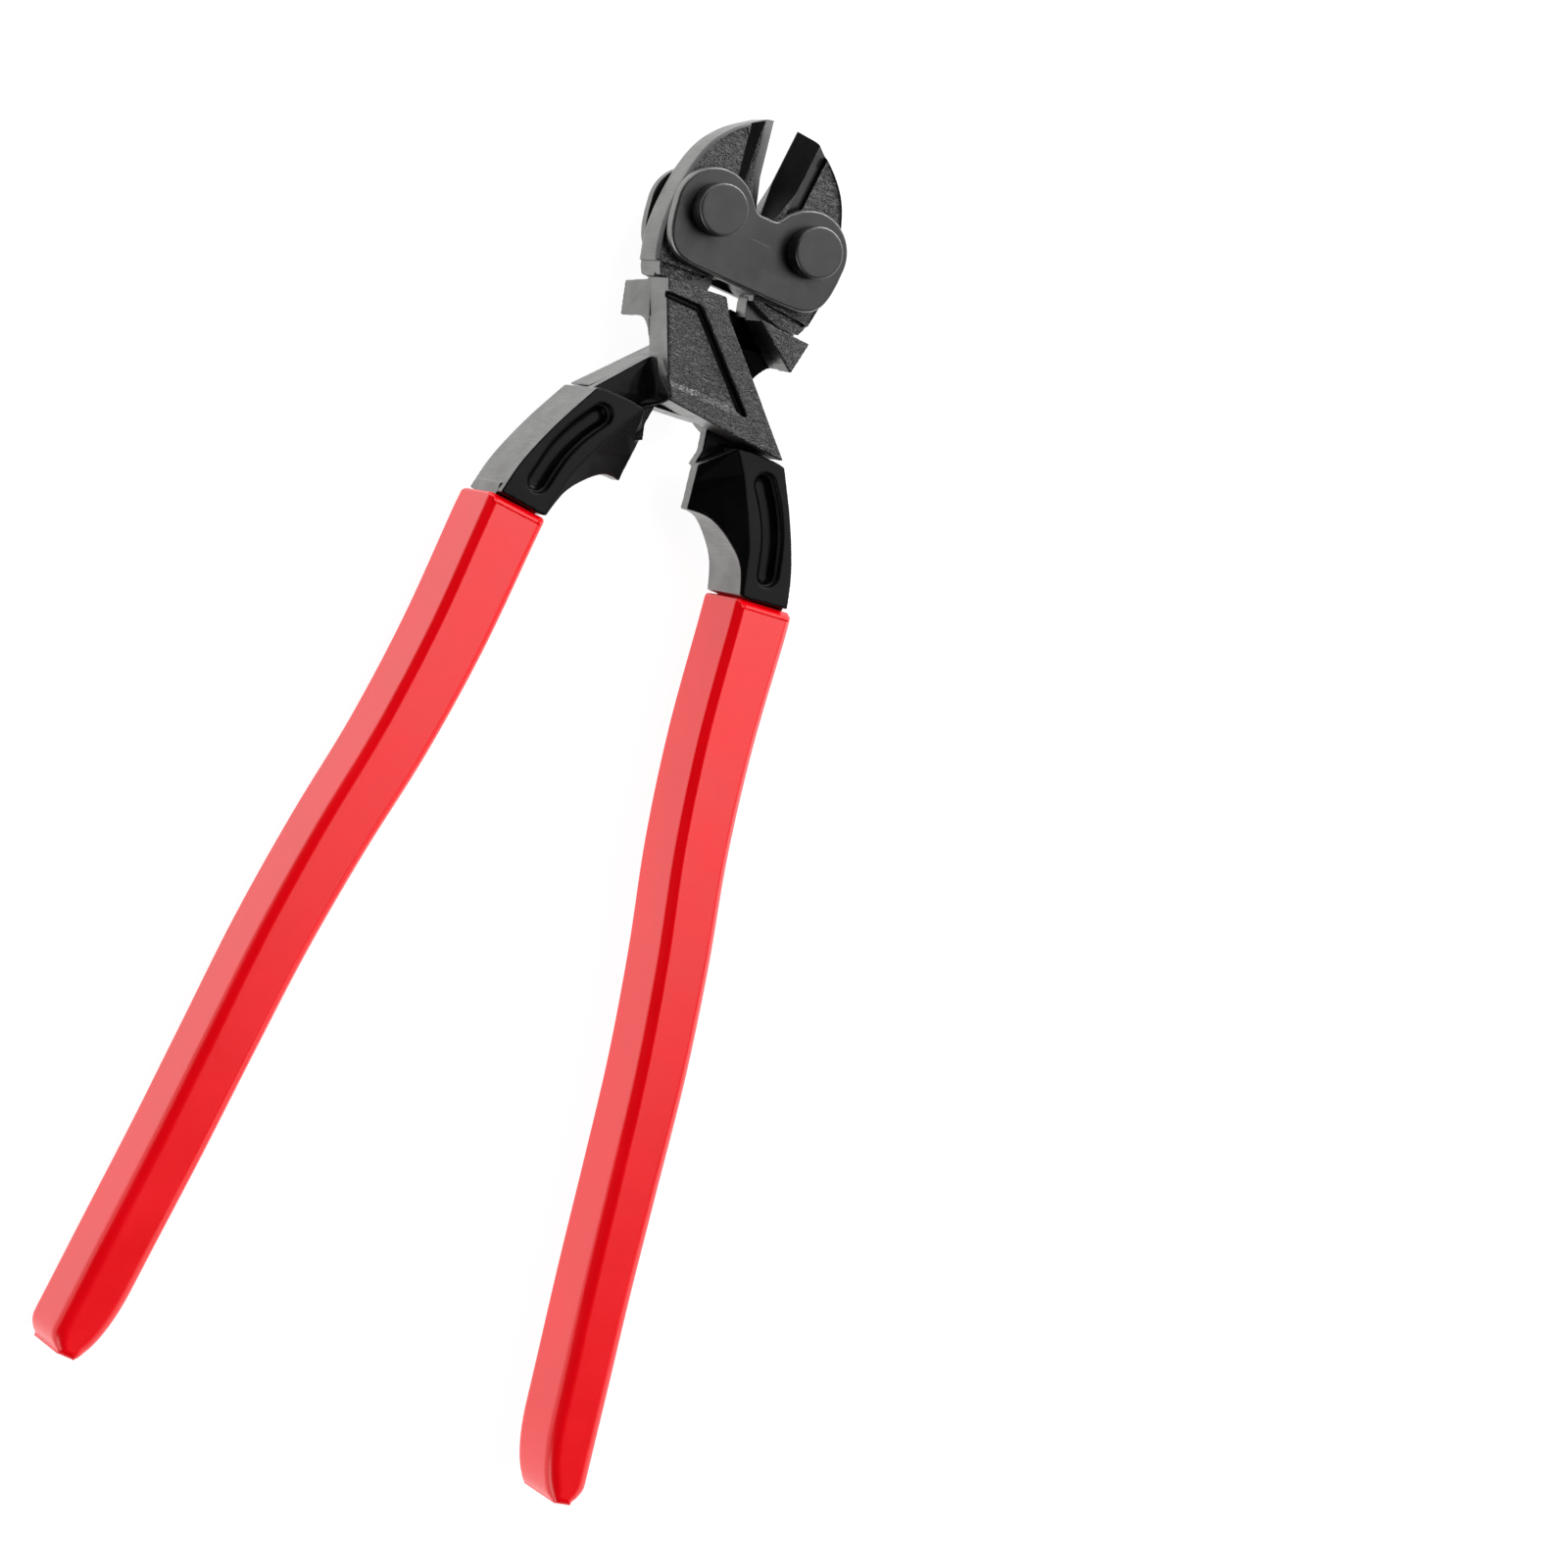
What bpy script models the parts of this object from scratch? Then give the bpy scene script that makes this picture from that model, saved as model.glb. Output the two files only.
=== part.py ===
"""Compact lever bolt cutters, lying flat with the jaws toward +Y and the front face up.

Two cutting jaws are riveted between a front and a rear link plate.  Each jaw ends in a tongue
that is pinned in the claw of its handle, and the two handles lap over each other and turn on one
centre pin.  Squeezing the grips spreads the claws, and the spreading claws close the jaws.

Every left-hand piece is drawn once, in its open position.  The right-hand piece is the same piece
turned half a turn about the long axis of the tool.  Outlines are in millimetres: the first number
is the distance out from the centre line, the second is the height above the ends of the grips.
"""
import math

import bmesh
import bpy
from mathutils import Matrix

MM = 0.001
GAP = 0.3                      # clearance kept between neighbouring pieces
PIN_GAP = 0.25                 # clearance round the small pins
PAST = 1.0                     # cutting bodies reach this far past the face they cut
EDGE_BREAK = 0.35              # bevel on the plates and the rivet heads

# Overall sizes
TOOL_LENGTH = 248.1            # grip ends to blade tips with the jaws open
HEAD_TOP = 10.9                # rivet head above the middle plane
CLAW_HALF = 9.4                # claws and lapped bosses, half thickness
NECK_HALF = 7.5                # handle necks, half thickness
LAP_GAP = 0.2                  # each boss stops this far from the middle plane

# Joint axes: distance out from the centre line, height
RIVET = (10.11, 227.8)
KNUCKLE = (10.6, 210.6)
CENTRE_PIN = (0.0, 197.5)

# Jaws
JAW_HALF = 4.3
JAW_OPEN_ANGLE = 7.0           # degrees that each jaw turns to close
CLOSED_GAP = 0.15              # edge to centre line when closed
EDGE_BOTTOM = 231.5            # cutting edge, lower and upper end in the closed position
EDGE_TOP = 247.0
BEVEL_WIDTH = 3.0
EDGE_LAND = 0.15
TONGUE_HALF = 2.0
TONGUE_ROUND = 2.0
FACE_STEP = 0.35               # depth of the grained panel on the jaw face

# Link plates and rivets
PLATE_LOW = JAW_HALF + GAP
PLATE_HIGH = 7.0
PLATE_LOBE = 7.6
PLATE_FOOT = 216.9
RIVET_SHANK = 3.6
RIVET_HEAD = 4.75

# Handles
CLAW_SLOT_HALF = TONGUE_HALF + GAP
CLAW_FLOOR = 208.2
KNUCKLE_PIN_RADIUS = 1.2
KNUCKLE_PIN_HALF = 7.6
CENTRE_PIN_RADIUS = 3.5
CENTRE_PIN_HALF = 7.4
WEB_HIGH = 3.0                 # front of the thin web between the neck and the boss
LUG_HALF = 1.5                 # stop lug on the inner side of the neck, half thickness
POCKET_DEPTH = 2.4
POCKET_RADIUS = 2.2
PANEL_DEPTH = 0.8

# Grips and the tangs inside them
GRIP_HALF = 8.0
GRIP_WIDTHS = [(165.7, 11.6), (110.0, 10.6), (60.0, 9.9), (12.0, 9.6), (0.0, 9.6)]
GRIP_TAIL_OUTER = 4.0          # the end of a grip is rounded over these lengths
GRIP_TAIL_INNER = 15.0
GRIP_CHAMFER = 1.3
TANG_HALF = 5.6
TANG_WIDTH = 7.2
TANG_TOP = 168.0
TANG_END = 8.0
GRIP_LINE = [(25.9, 165.7), (26.4, 160.0), (28.1, 140.0), (31.1, 120.0), (35.4, 100.0), (38.9, 80.0),
             (41.4, 60.0), (43.8, 40.0), (46.5, 20.0), (49.1, 0.0)]


def clear_scene():
    for item in list(bpy.data.objects):
        bpy.data.objects.remove(item, do_unlink=True)


def material(name, colour, roughness, metallic):
    made = bpy.data.materials.new(name)
    made.use_nodes = True
    shader = made.node_tree.nodes["Principled BSDF"]
    shader.inputs["Base Color"].default_value = (*colour, 1.0)
    shader.inputs["Roughness"].default_value = roughness
    shader.inputs["Metallic"].default_value = metallic
    return made


# ---------------------------------------------------------------- outlines

def arc(centre, radius, start, end, steps):
    """Points on an arc, angles in degrees counted from straight out."""
    points = []
    for step in range(steps + 1):
        angle = math.radians(start + (end - start) * step / steps)
        points.append((centre[0] + radius * math.cos(angle), centre[1] + radius * math.sin(angle)))
    return points


def smooth(points, steps):
    """A Catmull-Rom curve through the points."""
    ends = [points[0]] + list(points) + [points[-1]]
    curve = []
    for before, start, end, after in zip(ends, ends[1:], ends[2:], ends[3:]):
        for step in range(steps):
            t = step / steps
            curve.append(tuple(
                0.5 * (2 * b + (c - a) * t + (2 * a - 5 * b + 4 * c - d) * t ** 2
                       + (3 * b - a - 3 * c + d) * t ** 3)
                for a, b, c, d in zip(before, start, end, after)))
    curve.append(tuple(points[-1]))
    return curve


def turned(point, centre, degrees):
    """The point turned about the centre, toward the outside of the tool."""
    angle = math.radians(degrees)
    out = point[0] - centre[0]
    up = point[1] - centre[1]
    return (centre[0] + out * math.cos(angle) + up * math.sin(angle),
            centre[1] - out * math.sin(angle) + up * math.cos(angle))


def sides(line, outer_half, inner_half):
    """The two sides of a band along the line; the half widths are one number for each point."""
    outer = []
    inner = []
    for index, point in enumerate(line):
        before = line[max(index - 1, 0)]
        after = line[min(index + 1, len(line) - 1)]
        run = math.hypot(after[0] - before[0], after[1] - before[1])
        normal = ((before[1] - after[1]) / run, (after[0] - before[0]) / run)
        outer.append((point[0] + normal[0] * outer_half[index], point[1] + normal[1] * outer_half[index]))
        inner.append((point[0] - normal[0] * inner_half[index], point[1] - normal[1] * inner_half[index]))
    return outer, inner


def capsule(line, radius):
    """Outline of a slot with round ends that follows a line from its upper to its lower end."""
    outer, inner = sides(line, [radius] * len(line), [radius] * len(line))
    caps = []
    for centre, point in ((line[-1], outer[-1]), (line[0], inner[0])):
        start = math.degrees(math.atan2(point[1] - centre[1], point[0] - centre[0]))
        caps.append(arc(centre, radius, start, start - 180.0, 8)[1:-1])
    return outer + caps[0] + inner[::-1] + caps[1]


# ---------------------------------------------------------------- solids

def skin(rings):
    """A closed solid of a left-hand piece, stretched over rings of (out, up, z) points."""
    shape = bmesh.new()
    loops = [[shape.verts.new((-out * MM, up * MM, z * MM)) for out, up, z in ring] for ring in rings]
    for lower, upper in zip(loops, loops[1:]):
        for index in range(len(lower)):
            following = (index + 1) % len(lower)
            shape.faces.new((lower[index], lower[following], upper[following], upper[index]))
    shape.faces.new(loops[0])
    shape.faces.new(loops[-1])
    bmesh.ops.recalc_face_normals(shape, faces=shape.faces)
    mesh = bpy.data.meshes.new("solid")
    shape.to_mesh(mesh)
    shape.free()
    return helper(mesh)


def prism(outline, low, high):
    """The outline of a left-hand piece, extruded between two heights in z."""
    return skin([[(out, up, z) for out, up in outline] for z in (low, high)])


def cylinder(centre, radius, low, high, sides=32):
    outline = arc(centre, radius, 0.0, 360.0 - 360.0 / sides, sides - 1)
    return prism(outline, low, high)


def helper(mesh):
    """A construction solid: it shapes a piece and isn't a piece itself."""
    item = bpy.data.objects.new("helper", mesh)
    item.hide_render = True
    item.display_type = 'WIRE'
    bpy.context.scene.collection.objects.link(item)
    return item


def bevelled(item, width, segments, angle):
    bevel = item.modifiers.new("edges", 'BEVEL')
    bevel.width = width * MM
    bevel.segments = segments
    bevel.limit_method = 'ANGLE'
    bevel.angle_limit = math.radians(angle)
    return item


def carved(base, added=(), removed=()):
    """The base joined with the added solids, less the removed ones, as one mesh."""
    for operation, tools in (('UNION', added), ('DIFFERENCE', removed)):
        for tool in tools:
            step = base.modifiers.new(operation.lower(), 'BOOLEAN')
            step.operation = operation
            step.solver = 'EXACT'
            step.object = tool
    bpy.context.view_layer.update()
    graph = bpy.context.evaluated_depsgraph_get()
    mesh = bpy.data.meshes.new_from_object(base.evaluated_get(graph))
    for item in (base, *added, *removed):
        bpy.data.objects.remove(item, do_unlink=True)
    shape = bmesh.new()
    shape.from_mesh(mesh)
    bmesh.ops.remove_doubles(shape, verts=shape.verts, dist=0.00001)
    bmesh.ops.dissolve_limit(shape, angle_limit=math.radians(0.5), verts=shape.verts, edges=shape.edges)
    shape.to_mesh(mesh)
    shape.free()
    mesh.materials.clear()
    mesh.shade_smooth()
    mesh.set_sharp_from_angle(angle=math.radians(30.0))
    return mesh


# ---------------------------------------------------------------- placing

def world_place(point, side):
    """Where a joint axis is in the part's frame: +X right, +Y to the jaws, z up from the floor."""
    return (side * point[0] * MM, (point[1] - TOOL_LENGTH / 2) * MM, HEAD_TOP * MM)


def axis_empty(name, point, side, parent=None):
    """An empty on a joint axis, on the left (-1) or the right (+1)."""
    empty = bpy.data.objects.new(name, None)
    empty.empty_display_size = 0.01
    empty.matrix_world = Matrix.Translation(world_place(point, side))
    bpy.context.scene.collection.objects.link(empty)
    hang(empty, parent)
    return empty


def hang(item, parent):
    if parent is not None:
        bpy.context.view_layer.update()
        item.parent = parent
        item.matrix_parent_inverse = parent.matrix_world.inverted()


def place(name, mesh, point, side, parent, look):
    """A piece with its origin on its joint axis; the right-hand copy is turned over."""
    item = bpy.data.objects.new(name, mesh)
    if not mesh.materials:
        mesh.transform(Matrix.Translation((point[0] * MM, -point[1] * MM, 0.0)))
        mesh.materials.append(look)
    item.matrix_world = Matrix.Translation(world_place(point, side))
    if side > 0:
        item.matrix_world = item.matrix_world @ Matrix.Rotation(math.pi, 4, 'Y')
    bpy.context.scene.collection.objects.link(item)
    hang(item, parent)
    return item


# ---------------------------------------------------------------- head

def jaw_outline():
    tip = turned((CLOSED_GAP, EDGE_TOP), RIVET, JAW_OPEN_ANGLE)
    heel = turned((CLOSED_GAP, EDGE_BOTTOM), RIVET, JAW_OPEN_ANGLE)
    back = smooth([(5.6, 247.0), (10.8, 243.2), (14.6, 237.2), (16.9, 229.6), (17.4, 222.0),
                   (16.3, 215.7)], 5)
    hook = smooth([(6.0, 216.5), (3.4, 217.1), (1.4, 218.2), (0.2, 219.6)], 4)
    return [tip] + back + hook + [(0.2, RIVET[1]), heel]


def edge_bevel(front):
    """A wedge that grinds one side of the blade down to the cutting edge."""
    tip = turned((CLOSED_GAP, EDGE_TOP + 4.0), RIVET, JAW_OPEN_ANGLE)
    heel = turned((CLOSED_GAP, EDGE_BOTTOM - 1.5), RIVET, JAW_OPEN_ANGLE)
    run = math.hypot(tip[0] - heel[0], tip[1] - heel[1])
    away = ((tip[1] - heel[1]) / run, (heel[0] - tip[0]) / run)
    slope = (JAW_HALF - EDGE_LAND) / BEVEL_WIDTH
    outside = -0.6
    inside = BEVEL_WIDTH + 0.8
    section = [(outside, EDGE_LAND + slope * outside), (inside, EDGE_LAND + slope * inside),
               (outside, EDGE_LAND + slope * inside)]
    return skin([[(end[0] + away[0] * depth, end[1] + away[1] * depth, front * height)
                  for depth, height in section] for end in (heel, tip)])


def jaw_panel_outline():
    """The sunk, grained panel beside the blade."""
    rim = smooth([(8.4, 243.2), (11.2, 240.8), (14.0, 235.6), (15.6, 229.6), (16.0, 223.0),
                  (15.4, 218.4)], 4)
    return [(7.6, 243.4)] + rim + [(8.0, 218.6), (6.1, 232.0)]


def jaw_mesh():
    blade = prism(jaw_outline(), -JAW_HALF, JAW_HALF)
    tongue_end = arc(KNUCKLE, TONGUE_ROUND, 0.0, -170.0, 12)
    tongue = prism([(14.9, 218.0), (14.9, 213.3), (12.7, 213.2), *tongue_end, (8.3, 212.6), (4.5, 213.0),
                    (3.9, 215.6), (3.8, 217.6)], -TONGUE_HALF, TONGUE_HALF)
    panel = jaw_panel_outline()
    cutters = [edge_bevel(1), edge_bevel(-1),
               prism(panel, JAW_HALF - FACE_STEP, JAW_HALF + PAST),
               prism(panel, -JAW_HALF - PAST, FACE_STEP - JAW_HALF),
               cylinder(RIVET, RIVET_SHANK + GAP, -JAW_HALF - PAST, JAW_HALF + PAST),
               cylinder(KNUCKLE, KNUCKLE_PIN_RADIUS + PIN_GAP, -TONGUE_HALF - PAST, TONGUE_HALF + PAST, 20)]
    return carved(blade, [tongue], cutters)


def half_plate():
    """The outward half of the butterfly outline, from the valley down to the foot."""
    saddle = smooth([(0.0, 230.4), (2.2, 230.6), (4.0, 232.6), (6.0, 234.3)], 4)
    lobe = arc(RIVET, PLATE_LOBE, 112.0, -8.0, 13)
    foot = smooth([(17.45, 224.6), (16.95, 221.9), (16.0, 219.6), (14.4, 218.0), (12.0, 217.15),
                   (8.5, PLATE_FOOT), (5.0, PLATE_FOOT)], 3)
    return saddle + lobe + foot


def link_plate_mesh(low, high):
    outward = half_plate()
    inward = [(-out, up) for out, up in reversed(outward) if out > 0.01]
    bores = [cylinder((side * RIVET[0], RIVET[1]), RIVET_SHANK + GAP, low - PAST, high + PAST)
             for side in (1, -1)]
    plate = bevelled(prism(outward + inward, low, high), EDGE_BREAK, 2, 50.0)
    return carved(plate, (), bores)


def rivet_mesh():
    shank = cylinder(RIVET, RIVET_SHANK, -PLATE_HIGH - PAST, PLATE_HIGH + PAST)
    under = PLATE_HIGH + 0.3 * GAP
    heads = [bevelled(cylinder(RIVET, RIVET_HEAD, low, high, 40), EDGE_BREAK, 2, 50.0)
             for low, high in ((under, HEAD_TOP), (-HEAD_TOP, -under))]
    return carved(shank, heads)


# ---------------------------------------------------------------- handles

def cheek_outline():
    """The rear cheek of the claw."""
    return [(15.1, 212.2), (4.2, 212.8), (13.3, 206.4)]


def boss_outline():
    """The broad plate that crosses to the far side; its upper corner is the front cheek."""
    return [(15.15, 212.9), (3.3, 214.0), (1.3, 210.7), (-18.4, 190.8), (6.6, 192.9)]


def boss_panel_outline():
    return [(16.0, 210.6), (6.8, 210.7), (-9.4, 194.6), (8.0, 195.4), (12.0, 195.6)]


def neck_inner_edge():
    return [(9.7, 190.0), (12.6, 186.0), (16.4, 179.0), (18.8, 173.8), (20.9, 165.6)]


def neck_outline():
    outer = smooth([(30.1, 166.6), (28.3, 173.3), (24.6, 181.6), (19.9, 189.9)], 5)
    return outer + [(17.6, 190.3), (13.1, 190.4)] + smooth(neck_inner_edge(), 4)


def web_outline():
    """Thin web that carries the boss on the neck, in front of the other handle's boss."""
    return [(19.8, 189.7), (18.5, 190.7), (10.4, 199.7), (4.4, 197.0), (5.8, 192.0), (6.4, 188.0),
            (6.2, 185.2), (16.0, 182.0)]


def lug_ramps():
    """Stations of the stop lug: thin at its free edge, full thickness where it meets the neck."""
    free_edge = [(6.2, 185.2), (6.6, 182.0), (7.0, 179.0), (7.3, 176.0), (7.4, 170.0)]
    rings = []
    for edge, root in zip(free_edge, neck_inner_edge()):
        rings.append([(edge[0], edge[1], LUG_HALF), (root[0], root[1], NECK_HALF - 0.1),
                      (root[0] + 2.0, root[1], NECK_HALF - 0.1), (root[0] + 2.0, root[1], 0.1 - NECK_HALF),
                      (root[0], root[1], 0.1 - NECK_HALF), (edge[0], edge[1], -LUG_HALF)])
    return rings


def cove_outline():
    """Space under the lug, along the hollow inner side of the neck."""
    return smooth([(7.1, 176.9), (9.2, 177.1), (12.0, 176.5), (15.7, 173.9), (18.7, 170.4),
                   (20.6, 165.0)], 4) + [(20.0, 160.0), (0.0, 160.0), (0.0, 176.9)]


def neck_pocket_outline():
    """A long rounded pocket that follows the bend of the neck."""
    return capsule(smooth([(17.3, 185.9), (20.1, 181.9), (22.5, 177.0), (24.1, 170.9)], 4), POCKET_RADIUS)


def grip_middle(up):
    """How far out the bowed middle line of a grip is at this height."""
    curve = smooth(GRIP_LINE, 12)
    for above, below in zip(curve, curve[1:]):
        if above[1] >= up >= below[1]:
            share = (above[1] - up) / (above[1] - below[1])
            return above[0] + (below[0] - above[0]) * share
    return curve[0][0]


def grip_line(top, end):
    """Points down the middle of a grip, closer together toward the rounded end."""
    straight = top - end - GRIP_TAIL_INNER
    steps = 24
    ups = [top - straight * step / steps for step in range(steps)]
    ups += [end + GRIP_TAIL_INNER * (1.0 - math.sin(0.5 * math.pi * step / 12)) for step in range(13)]
    return [(grip_middle(up), up) for up in ups]


def rounded_off(up, end, tail):
    """Share of the width that is left near the round end of a grip."""
    left_over = min((up - end) / tail, 1.0)
    return math.sqrt(max(1.0 - (1.0 - left_over) ** 2, 0.0))


def grip_width(up):
    """Width of a grip at this height."""
    for above, below in zip(GRIP_WIDTHS, GRIP_WIDTHS[1:]):
        if up >= below[0]:
            break
    share = (above[0] - up) / (above[0] - below[0])
    return above[1] + (below[1] - above[1]) * share


def grip_outline():
    top, end = GRIP_LINE[0][1], GRIP_LINE[-1][1]
    line = grip_line(top, end)
    outer_half = []
    inner_half = []
    for _, up in line:
        half = 0.5 * grip_width(up)
        outer_half.append(half * max(rounded_off(up, end, GRIP_TAIL_OUTER), 0.45))
        inner_half.append(half * max(rounded_off(up, end, GRIP_TAIL_INNER), 0.05))
    outer, inner = sides(line, outer_half, inner_half)
    return outer + inner[::-1]


def tang_outline(width, top, end):
    """The plain bar inside a grip, carried straight up into the neck."""
    bend = 150.0
    lean = 0.075
    line = [(grip_middle(bend) - lean * (top - bend), top)]
    line += [(grip_middle(up), up) for up in (bend, 135.0, 120.0, 105.0, 90.0, 70.0, 50.0, 30.0, end)]
    outer, inner = sides(line, [width / 2] * len(line), [width / 2] * len(line))
    return outer + inner[::-1]


def handle_mesh():
    boss = prism(boss_outline(), LAP_GAP, CLAW_HALF)
    added = [prism(cheek_outline(), -CLAW_HALF, LAP_GAP + 1.0),
             prism(web_outline(), LAP_GAP, WEB_HIGH),
             prism(neck_outline(), -NECK_HALF, NECK_HALF),
             prism(tang_outline(TANG_WIDTH, TANG_TOP, TANG_END), -TANG_HALF, TANG_HALF)]
    lug = carved(skin(lug_ramps()), (), [prism(cove_outline(), -CLAW_HALF, CLAW_HALF)])
    added.append(helper(lug))
    slot = [(13.4, 216.0), (13.1, 212.7), (12.6, CLAW_FLOOR), (7.5, CLAW_FLOOR), (-3.0, 212.4),
            (-3.0, 216.0)]
    removed = [prism(slot, -CLAW_SLOT_HALF, CLAW_SLOT_HALF),
               cylinder(KNUCKLE, KNUCKLE_PIN_RADIUS + PIN_GAP, -KNUCKLE_PIN_HALF - GAP,
                        KNUCKLE_PIN_HALF + GAP, 20),
               cylinder(CENTRE_PIN, CENTRE_PIN_RADIUS + GAP, -PAST, CENTRE_PIN_HALF + GAP),
               prism(boss_panel_outline(), CLAW_HALF - PANEL_DEPTH, CLAW_HALF + PAST)]
    for low, high in ((NECK_HALF - POCKET_DEPTH, NECK_HALF + PAST),
                      (-NECK_HALF - PAST, POCKET_DEPTH - NECK_HALF)):
        removed.append(prism(neck_pocket_outline(), low, high))
    return carved(boss, added, removed)


def grip_mesh():
    body = bevelled(prism(grip_outline(), -GRIP_HALF, GRIP_HALF), GRIP_CHAMFER, 2, 60.0)
    room = prism(tang_outline(TANG_WIDTH + 2 * GAP, TANG_TOP + 2 * PAST, TANG_END - GAP),
                 -TANG_HALF - GAP, TANG_HALF + GAP)
    return carved(body, (), [room])


# ---------------------------------------------------------------- assembly

def build():
    clear_scene()
    forged = material("forged_steel", (0.035, 0.035, 0.038), 0.45, 0.6)
    plate_steel = material("blackened_plate", (0.06, 0.06, 0.058), 0.4, 0.7)
    pin_steel = material("pin_steel", (0.35, 0.35, 0.36), 0.3, 1.0)
    red_dip = material("red_dip", (0.80, 0.02, 0.02), 0.28, 0.0)

    head = axis_empty("head", CENTRE_PIN, 1)
    centre = (0.0, RIVET[1])
    place("front_link_plate", link_plate_mesh(PLATE_LOW, PLATE_HIGH), centre, -1, head, plate_steel)
    place("rear_link_plate", link_plate_mesh(-PLATE_HIGH, -PLATE_LOW), centre, -1, head, plate_steel)

    rivet = rivet_mesh()
    jaw = jaw_mesh()
    handle = handle_mesh()
    grip = grip_mesh()
    knuckle_pin = carved(cylinder(KNUCKLE, KNUCKLE_PIN_RADIUS, -KNUCKLE_PIN_HALF, KNUCKLE_PIN_HALF, 20))
    centre_pin = carved(cylinder(CENTRE_PIN, CENTRE_PIN_RADIUS, -CENTRE_PIN_HALF, CENTRE_PIN_HALF))
    for side, hand in ((-1, "left"), (1, "right")):
        rivet_axis = axis_empty(hand + "_rivet_axis", RIVET, side, head)
        knuckle_axis = axis_empty(hand + "_knuckle_axis", KNUCKLE, side, rivet_axis)
        place(hand + "_rivet", rivet, RIVET, side, head, plate_steel)
        place(hand + "_jaw", jaw, RIVET, side, rivet_axis, forged)
        place(hand + "_handle", handle, KNUCKLE, side, knuckle_axis, forged)
        place(hand + "_grip", grip, KNUCKLE, side, knuckle_axis, red_dip)
        place(hand + "_knuckle_pin", knuckle_pin, KNUCKLE, side, knuckle_axis, pin_steel)
        if side < 0:
            place("centre_pin", centre_pin, CENTRE_PIN, side, knuckle_axis, pin_steel)


build()
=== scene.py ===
"""Looks of the compact lever bolt cutters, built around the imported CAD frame.

Each left-hand piece is drawn once, in millimetres: the first number of a point is the distance out
from the centre line, the second is the height above the grip ends, and z is counted from the middle
plane.  The right-hand piece is the same mesh, turned half a turn about the long axis of the tool.
"""
import math

import bmesh
import bpy
from mathutils import Matrix, Vector


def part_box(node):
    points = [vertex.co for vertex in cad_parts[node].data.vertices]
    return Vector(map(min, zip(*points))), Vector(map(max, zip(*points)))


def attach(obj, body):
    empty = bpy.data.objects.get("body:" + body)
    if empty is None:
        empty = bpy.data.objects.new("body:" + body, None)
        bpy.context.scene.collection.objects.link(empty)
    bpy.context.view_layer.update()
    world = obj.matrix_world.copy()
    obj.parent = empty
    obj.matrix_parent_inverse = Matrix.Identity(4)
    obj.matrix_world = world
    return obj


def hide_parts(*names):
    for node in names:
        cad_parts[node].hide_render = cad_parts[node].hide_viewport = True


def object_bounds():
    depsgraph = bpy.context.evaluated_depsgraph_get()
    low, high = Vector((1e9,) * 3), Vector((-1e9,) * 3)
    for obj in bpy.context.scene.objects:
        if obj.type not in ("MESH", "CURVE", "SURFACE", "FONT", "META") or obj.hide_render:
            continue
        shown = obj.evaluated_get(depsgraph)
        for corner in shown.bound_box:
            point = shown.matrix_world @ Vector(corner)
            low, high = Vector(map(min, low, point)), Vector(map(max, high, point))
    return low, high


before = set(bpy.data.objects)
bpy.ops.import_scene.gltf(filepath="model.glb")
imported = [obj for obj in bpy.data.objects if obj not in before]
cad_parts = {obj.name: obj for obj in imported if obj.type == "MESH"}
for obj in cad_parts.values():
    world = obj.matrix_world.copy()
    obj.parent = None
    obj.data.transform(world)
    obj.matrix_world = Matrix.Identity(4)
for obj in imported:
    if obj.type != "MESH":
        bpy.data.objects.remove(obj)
cad_low, cad_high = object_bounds()

MM = 0.001

# Camera: the photograph's viewing angle, in degrees, metres and millimetres of lens
VIEW_AZIMUTH = -84.77
VIEW_ELEVATION = 63.42
VIEW_ROLL = 105.46
VIEW_DISTANCE = 0.82854
VIEW_TARGET = (0.04534, 0.01320, 0.0109)
LENS = 103.42
SENSOR = 36.0


# ---------------------------------------------------------------- places and sizes from the frame

TOOL_LENGTH = 248.1
MIDDLE = (cad_low[2] + cad_high[2]) / 2


def node_mm(node):
    """Lowest and highest corner of a CAD node as (out, up, z); out is counted to the left."""
    low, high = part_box(node)
    return ((-high[0] / MM, low[1] / MM + TOOL_LENGTH / 2, (low[2] - MIDDLE) / MM),
            (-low[0] / MM, high[1] / MM + TOOL_LENGTH / 2, (high[2] - MIDDLE) / MM))


def axis_of(node):
    """The joint axis of a round CAD node as (out, up)."""
    low, high = node_mm(node)
    return ((low[0] + high[0]) / 2, (low[1] + high[1]) / 2)


HEAD_TOP = (cad_high[2] - cad_low[2]) / 2 / MM
RIVET = axis_of("left_rivet")
KNUCKLE = axis_of("left_knuckle_pin")
JAW_HALF = node_mm("left_jaw")[1][2]
CLAW_HALF = node_mm("left_handle")[1][2]
GRIP_HALF = node_mm("left_grip")[1][2]
PLATE_LOW = node_mm("front_link_plate")[0][2]
PLATE_HIGH = node_mm("front_link_plate")[1][2]
RIVET_HEAD = (node_mm("left_rivet")[1][0] - node_mm("left_rivet")[0][0]) / 2

# Sizes in mm, most of them those of the CAD solids
GAP = 0.3
NECK_HALF = 7.5
LAP_GAP = 0.2
CLOSED_GAP = 0.15
JAW_OPEN_ANGLE = 7.0
EDGE_BOTTOM = 231.5
EDGE_TOP = 247.0
EDGE_LAND = 0.15
EDGE_WIDTH = 3.4
VALLEY = 5.6
PANEL_START = 6.0
BACK_CHAMFER = 0.4
TONGUE_HALF = 2.0
TONGUE_ROUND = 2.0
PLATE_LOBE = 7.6
PLATE_FOOT = 216.9
RIVET_SHANK = 3.6
LUG_HALF = 1.5
WEB_HIGH = 3.0
CLAW_FLOOR = 208.2
GRIP_WIDTHS = [(165.7, 11.6), (110.0, 10.6), (60.0, 9.9), (12.0, 9.6), (0.0, 9.6)]
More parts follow.
